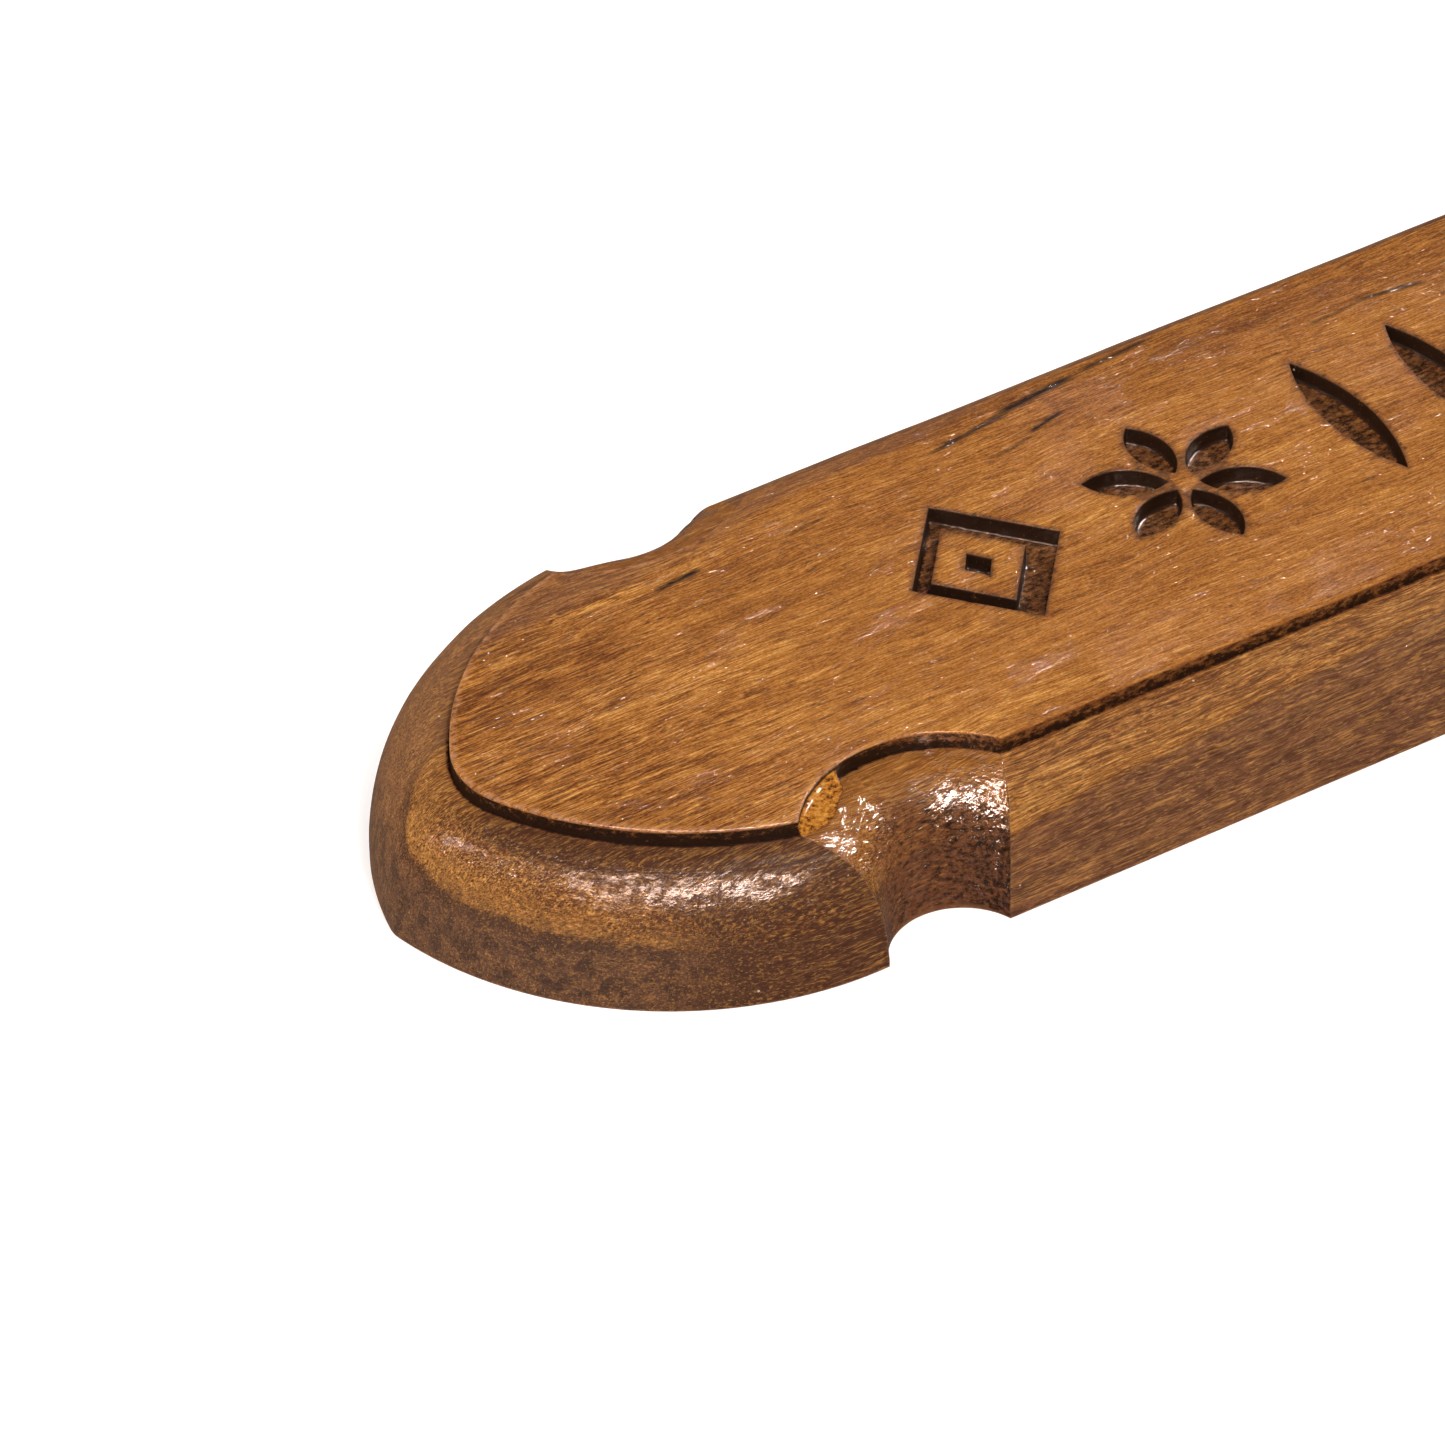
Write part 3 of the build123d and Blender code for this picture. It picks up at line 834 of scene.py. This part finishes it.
def teak():
    g = Graph("teak")
    place = g.place()
    x, y, z = g.node("SeparateXYZ", {0: place}).outputs

    # the fibres run along X and wander a little
    wander = g.drift(place, (60, 15, 15), 6, 3.1)
    ripple = g.drift(place, (8, 2.6, 2.6), 0.9, 8.7)
    grain = g.vector("ADD", g.vector("ADD", place, wander), ripple)
    patch = g.noise(grain, (45, 5, 5), 3, 0.55, 1.3)
    cloud = g.noise(grain, (13, 3.2, 3.2), 3, 0.6, 71.0)
    streak = g.noise(grain, (20, 0.8, 0.8), 3, 0.62, 5.2)
    dashes = g.noise(grain, (4.2, 0.16, 0.16), 3, 0.68, 9.9)
    grit = g.noise(place, (0.34, 0.16, 0.16), 2, 0.6, 40.0)

    # parts of the board: the moulding, its notches, and where the fibres are cut across
    moulding = g.step(g.mark("out"), 0.004, 0.03)
    panel = g.rest(moulding)
    at_notch = g.times(g.mark("notch"), moulding)
    fibre = g.vector("DOT_PRODUCT", g.node("NewGeometry").outputs["Normal"], (1.0, 0.0, 0.0))
    end_grain = g.step(g.math("ABSOLUTE", fibre), 0.15, 0.8)

    contrast = g.add(
        g.step(x, -60.0, -92.0, 0.60, 1.0), g.swing(patch, 0.7), g.times(moulding, 0.7),
        g.times(at_notch, 0.5),
    )
    lively = g.times(g.add(g.swing(streak, 0.55), g.swing(dashes, 1.95)), contrast)
    tone = g.add(
        g.swing(patch, 0.36), g.swing(cloud, 0.24), lively, g.swing(grit, 0.62),
        g.step(x, -70.0, -98.0, 0.495, 0.425), g.step(y, 7.0, 17.0, 0.0, -0.07),
        g.step(x, -20.0, 30.0, 0.0, -0.02),
    )
    colour = g.ramp(tone, [
        (0.16, srgb(92, 48, 18)), (0.36, srgb(136, 80, 32)), (0.50, srgb(167, 105, 43)),
        (0.64, srgb(188, 124, 54)), (0.84, srgb(228, 168, 88)),
    ])

    # outside the last dark ring the wood is greyer, with smudges, and paler just inside it
    _, grain_y, grain_z = g.node("SeparateXYZ", {0: grain}).outputs
    across = g.add(grain_y, -RING_Y, g.times(x, -RING_SLOPE_Y))
    depth = g.add(grain_z, -RING_Z, g.times(x, -RING_SLOPE_Z))
    ring = g.math("SQRT", g.add(g.times(across, across), g.times(depth, depth)))
    ring = g.add(ring, -RING_RADIUS)
    outside = g.step(ring, -0.2, 0.7)
    grey = g.times(outside, g.add(g.times(moulding, 0.12), 0.42))
    colour = g.dye(colour, grey, 112, 77, 61)
    smudges = g.step(g.noise(grain, (5.0, 1.5, 1.5), 4, 0.74, 31.0), 0.48, 0.58)
    smudged = g.add(g.times(outside, 0.16), g.times(end_grain, 0.75), 0.22)
    low = g.step(z, 12.0, 5.0, 0.25, 1.0)
    colour = g.dye(colour, g.times(smudges, moulding, low, smudged), 46, 28, 22)
    line = g.times(g.step(ring, -0.5, 0.2), g.step(ring, 1.6, 0.5))
    drawn = g.add(
        g.times(smudges, end_grain, 0.8), g.times(end_grain, 0.6), g.times(moulding, 0.12),
    )
    colour = g.dye(colour, g.times(line, drawn), 66, 40, 24)
    later = g.math("FRACT", g.times(g.add(ring, -0.6), 1 / LATER_RING_SPACING))
    later = g.times(g.step(later, 0.2, 0.95), g.step(later, 1.0, 0.96), outside)
    colour = g.dye(colour, g.times(later, moulding, 0.35), 74, 48, 34)
    pale = g.times(g.step(ring, -3.4, -1.2), g.step(ring, -0.1, -0.4), g.step(patch, 0.3, 0.5))
    pale = g.times(pale, moulding, g.add(g.times(end_grain, 0.20), 0.14))
    colour = g.dye(colour, pale, 212, 146, 70)

    # side and end grain drink more of the finish, and painted shade darkens the moulding's -Y side,
    # most on the side grain of each end
    mottle = g.step(g.noise(grain, (1.5, 0.34, 0.34), 3, 0.7, 21.0), 0.38, 0.62)
    shaded_lobe_side = g.times(
        g.step(g.math("ABSOLUTE", x), 76.0, 79.0), g.step(end_grain, 0.7, 0.3),
        g.step(y, 2.0, -8.0), g.rest(at_notch),
    )
    mottled_and_shaded = g.times(mottle, g.step(y, -4.0, 10.0, 0.46, 0.22))
    soaked_and_shaded = g.times(moulding, g.add(g.times(shaded_lobe_side, 0.60), mottled_and_shaded, 0.04))
    colour = g.dye(colour, soaked_and_shaded, 66, 35, 18)

    # the notches are dark at the foot and golden above
    colour = g.dye(colour, g.times(at_notch, 0.42), 88, 44, 8)
    golden = g.times(at_notch, g.step(g.mark("out"), 0.75, 0.45, 0.0, 0.5))
    colour = g.dye(colour, golden, 158, 92, 20)

    # painted light: the end's upper side is lighter, as if lit there, and a faint painted
    # reflection makes the whole moulding a little greyer than the panel
    painted_light_end = g.times(moulding, g.step(y, -2.0, 10.0), g.step(x, -82.0, -92.0), 0.14)
    colour = g.dye(colour, painted_light_end, 206, 146, 90)
    colour = g.dye(colour, g.times(moulding, 0.10), 128, 98, 86)

    # open pits, golden specks and a greyed foot on the moulding; dark pores all over, and pale
    # specks all over painted as tiny glints of light
    pits = g.step(g.noise(grain, (2.4, 0.19, 0.19), 2, 0.6, 51.0), 0.56, 0.66)
    pits = g.times(pits, moulding, g.add(g.times(end_grain, 0.55), 0.35))
    colour = g.dye(colour, pits, 46, 26, 14)
    gilt = g.step(g.noise(grain, (3.2, 0.22, 0.22), 2, 0.6, 62.0), 0.56, 0.68)
    gilt = g.times(gilt, moulding, g.add(g.times(at_notch, 0.2), 0.35))
    colour = g.dye(colour, gilt, 214, 152, 70)
    foot = g.times(
        moulding, end_grain, g.step(g.mark("out"), 0.74, 0.98), g.step(mottle, 0.0, 1.0, 0.3, 0.65),
    )
    colour = g.dye(colour, foot, 82, 64, 54)
    dark_pores = g.step(g.noise(grain, (2.6, 0.15, 0.15), 1, 0.5, 4.4), 0.60, 0.70)
    colour = g.dye(colour, g.times(dark_pores, 0.55), 70, 40, 20)
    # painted glints: pale specks along the grain
    painted_glints = g.step(g.noise(grain, (0.9, 0.13, 0.13), 1, 0.5, 14.4), 0.62, 0.74)
    colour = g.dye(colour, g.times(painted_glints, 0.30), 224, 170, 104)

    face = g.step(z, THICKNESS - 0.5, THICKNESS - 0.3)
    colour = add_streaks(g, place, face, colour)

    # painted shade: a fine dark line for the tiny groove the cutter left along the end's lower edge
    out = g.add(g.mark("out"), g.swing(streak, 0.03))
    groove_shade = g.times(
        g.step(out, 0.385, 0.40), g.step(out, 0.425, 0.41), g.step(x, -79.0, -82.0),
        g.step(y, -9.0, -12.0), 0.6,
    )
    colour = g.dye(colour, groove_shade, 58, 34, 22)

    # scorched by the cutter, with painted shade where the same mark darkens the foot of the step;
    # scuffed pale on the edges, partly painted glints along the arrises; raw where it tore
    burnt, worn, torn = g.mark("burnt"), g.mark("worn"), g.mark("torn")
    colour = g.dye(colour, g.step(burnt, 0.1, 0.6, 0.0, 0.6), 122, 72, 44)
    scorch = g.noise(place, (0.9, 0.5, 0.5), 4, 0.75, 2.2)
    char_and_shade = g.step(g.add(burnt, g.swing(scorch, 1.8)), 0.30, 0.85)
    colour = g.dye(colour, g.times(char_and_shade, 0.95), 24, 13, 7)
    # painted glints: the pale scuffing also stands in for light caught on the bottom arris and the
    # ridges
    rubbed_and_glinting = g.times(g.step(worn, 0.3, 1.0), g.step(scorch, 0.38, 0.62), g.rest(torn), 0.55)
    colour = g.dye(colour, rubbed_and_glinting, 200, 146, 108)
    raw = g.ramp(g.noise(place, (0.8, 0.35, 0.4), 3, 0.7, 18.0), [
        (0.38, srgb(84, 44, 12)), (0.48, srgb(172, 104, 30)), (0.68, srgb(216, 152, 60)),
    ])
    colour = g.blend(g.step(torn, 0.3, 0.6), colour, raw)

    # dust caught in the finish
    cells = g.node("TexVoronoi", {"Vector": place, "Scale": 0.55})
    chance = g.node("SeparateColor", {0: cells.outputs["Color"]}).outputs[0]
    dust = g.times(g.step(cells.outputs["Distance"], 0.085, 0.045), g.step(chance, 0.90, 0.92))
    colour = g.dye(colour, g.times(dust, 0.75), 236, 214, 190)

    # fine fibres everywhere, and the cutter's marks on the moulding, deepest in the notches
    fibres = g.add(g.times(dark_pores, -0.7), g.times(dashes, 0.8), g.times(streak, 0.5))
    normal = g.bump(fibres, 0.00004, 0.6)
    track = g.node("CombineXYZ", {0: x, 1: y, 2: g.mark("out")}).outputs[0]
    cutter = g.noise(track, (4.5, 4.5, 0.08), 3, 0.65, 2.0)
    chatter = g.noise(grain, (3.2, 0.9, 0.9), 3, 0.62, 6.6)
    tool_marks = g.add(g.times(chatter, 0.7), g.times(cutter, 0.5))
    carved = g.times(g.math("MAXIMUM", moulding, torn), g.add(g.times(at_notch, 0.9), 0.6))
    normal = g.bump(g.times(tool_marks, carved), 0.00024, 1.0, normal)
    dryness = g.add(g.times(char_and_shade, 0.2), g.times(torn, 0.3))
    roughness = g.add(g.step(dashes, 0.3, 0.7, 0.42, 0.55), dryness)

    # the varnish is thin on the panel's char and worn edges and broken up on the moulding
    dull = g.add(g.times(char_and_shade, panel, 0.85), torn)
    varnish = g.math("MAXIMUM", g.rest(dull), 0.0)
    beads = g.noise(grain, (2.0, 0.7, 0.7), 3, 0.7, 26.0)
    broken = g.step(g.add(g.times(beads, 0.7), g.times(dashes, 0.3)), 0.45, 0.58, 0.05, 1.0)
    scored = g.step(cutter, 0.40, 0.64, 0.14, 0.27)
    broken = g.times(broken, g.math("MAXIMUM", at_notch, scored))
    varnish = g.times(
        varnish, g.math("MAXIMUM", broken, panel), g.step(worn, 0.2, 0.5, 1.0, 0.15),
    )
    return g.finish(
        Base_Color=colour, Roughness=roughness, Normal=normal, IOR=1.45, Specular_IOR_Level=0.02,
        Coat_Weight=varnish, Coat_IOR=1.6, Coat_Roughness=0.06, Coat_Normal=normal,
    )


def zinc(name, tint, shade):
    """Plated steel: a faint spangle, fine scratches and a few dull stains."""
    g = Graph(name)
    place = g.place()
    cells = g.node("TexVoronoi", {"Vector": place, "Scale": 0.8}).outputs["Color"]
    spangle = g.node("SeparateColor", {0: cells}).outputs[0]
    scratches = g.noise(place, (9, 0.12, 0.12), 3, 0.6, 1.0)
    stains = g.noise(place, (4, 4, 4), 4, 0.6, 7.0)
    share = g.add(g.times(spangle, 0.25), g.times(scratches, 0.35), g.times(stains, 0.45))
    colour = g.ramp(share, [(0.3, shade), (0.75, tint)])
    roughness = g.step(share, 0.3, 0.8, 0.42, 0.27)
    normal = g.bump(scratches, 0.00002, 0.4)
    return g.finish(Base_Color=colour, Metallic=1.0, Roughness=roughness, Normal=normal)


# ---------------------------------------------------------------- camera, floor and lights
# The camera looks at a point near the sign's -X end, from beyond its lower edge.
TARGET = Vector((-0.08157, -0.00595, 0.0150))
TURN, TILT, ROLL = math.radians(32.32), math.radians(39.18), math.radians(-0.41)
DISTANCE = 0.8987
LENS, SENSOR = 241.8, 36.0
FLOOR_HALF_WIDTH = 6.0

AIM = Vector((-0.08, 0.0, 0.0))
LAMP_COLOUR = (1.0, 0.97, 0.93)
GLINT_COLOUR = (1.0, 0.76, 0.66)
SHEEN_COLOUR = (1.0, 0.68, 0.55)


def make_camera():
    cos_turn, sin_turn = math.cos(TURN), math.sin(TURN)
    cos_tilt, sin_tilt = math.cos(TILT), math.sin(TILT)
    cos_roll, sin_roll = math.cos(ROLL), math.sin(ROLL)
    right = Vector((cos_turn, -sin_turn, 0))
    down = Vector((-sin_turn * sin_tilt, -cos_turn * sin_tilt, -cos_tilt))
    forward = Vector((sin_turn * cos_tilt, cos_turn * cos_tilt, -sin_tilt))
    right, down = cos_roll * right - sin_roll * down, sin_roll * right + cos_roll * down
    data = bpy.data.cameras.new("camera")
    data.lens, data.sensor_width, data.clip_start, data.clip_end = LENS, SENSOR, 0.05, 20.0
    camera = bpy.data.objects.new("camera", data)
    turn = Matrix((right, -down, -forward)).transposed().to_4x4()
    camera.matrix_world = Matrix.Translation(TARGET - forward * DISTANCE) @ turn
    bpy.context.scene.collection.objects.link(camera)
    bpy.context.scene.camera = camera


def make_floor():
    """Pale paper that glows a little, so that it stays even, and isn't mirrored in the varnish."""
    mesh = bpy.data.meshes.new("floor")
    corners = [(x * FLOOR_HALF_WIDTH, y * FLOOR_HALF_WIDTH, 0) for x, y in
               ((-1, -1), (1, -1), (1, 1), (-1, 1))]
    mesh.from_pydata(corners, [], [(0, 1, 2, 3)])
    floor = bpy.data.objects.new("floor", mesh)
    bpy.context.scene.collection.objects.link(floor)
    floor.data.materials.append(Graph("floor_paper").finish(
        Base_Color=(0.5, 0.5, 0.5, 1), Roughness=0.9,
        Emission_Color=(1, 1, 1, 1), Emission_Strength=0.62,
    ))
    floor.visible_glossy = False


def make_light(name, place, size, watts, colour=LAMP_COLOUR, mirrored=True, shading=True):
    """An area light. One that isn't mirrored shades the wood but leaves no highlight on it, and
    one that isn't shading only leaves a highlight."""
    data = bpy.data.lights.new(name, "AREA")
    data.shape, data.size, data.size_y = "RECTANGLE", *size
    data.energy, data.color = watts, colour
    light = bpy.data.objects.new(name, data)
    light.location = place
    light.rotation_euler = (AIM - Vector(place)).to_track_quat("-Z", "Y").to_euler()
    light.visible_camera = False
    light.visible_glossy = mirrored
    light.visible_diffuse = shading
    bpy.context.scene.collection.objects.link(light)


def make_world(above, below):
    """Even white light, with its own strength above and below the horizon."""
    world = bpy.data.worlds.new("studio")
    world.use_nodes = True
    tree = world.node_tree
    backdrop = tree.nodes["Background"]
    backdrop.inputs[0].default_value = (1, 1, 1, 1)
    direction = tree.nodes.new("ShaderNodeTexCoord").outputs["Generated"]
    split = tree.nodes.new("ShaderNodeSeparateXYZ")
    level = tree.nodes.new("ShaderNodeMapRange")
    for key, value in {"From Min": -0.1, "From Max": 0.1, "To Min": below, "To Max": above}.items():
        level.inputs[key].default_value = value
    tree.links.new(direction, split.inputs[0])
    tree.links.new(split.outputs[2], level.inputs[0])
    tree.links.new(level.outputs[0], backdrop.inputs[1])
    bpy.context.scene.world = world


# ---------------------------------------------------------------- the scene
board = make_board()
board.data.materials.append(teak())
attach(board, "root")
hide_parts("plaque_body")

plate_zinc = zinc("plate_zinc", (0.66, 0.66, 0.64), (0.38, 0.39, 0.40))
screw_zinc = zinc("screw_zinc", (0.70, 0.58, 0.30), (0.42, 0.36, 0.24))
for node, material in (("keyhole_hanger", plate_zinc), ("hanger_screw", screw_zinc)):
    for piece in bpy.data.objects:
        if piece.type == "MESH" and piece.name.startswith(node):
            for place in piece.material_slots:
                place.material = material

make_camera()
make_floor()
make_world(0.09, 0.14)
make_light("softbox", (0.0, -0.17, 0.75), (0.30, 0.26), 1.58)
make_light("left_softbox", (-0.78, 0.45, 0.42), (0.50, 0.50), 4.6, mirrored=False)
make_light("left_lamp", (-0.70, 0.10, 0.52), (0.08, 0.08), 0.5)
make_light("front_lamp", (-0.175, -0.475, 0.593), (0.09, 0.09), 2.5)
make_light("right_lamp", (0.66, 0.07, 0.51), (0.09, 0.09), 2.8)
for name, place, size, watts, colour in (
    ("front_glint", (-0.178, -0.484, 0.604), (0.13, 0.13), 8.0, GLINT_COLOUR),
    ("front_sheen", (-0.330, -0.400, 0.610), (0.62, 0.32), 58.0, SHEEN_COLOUR),
    ("right_glint", (0.673, 0.071, 0.520), (0.12, 0.12), 32.0, GLINT_COLOUR),
    ("left_glint", (-0.712, 0.102, 0.530), (0.07, 0.07), 7.0, GLINT_COLOUR),
):
    make_light(name, place, size, watts, colour, shading=False)

scene = bpy.context.scene
scene.view_settings.view_transform = "Standard"
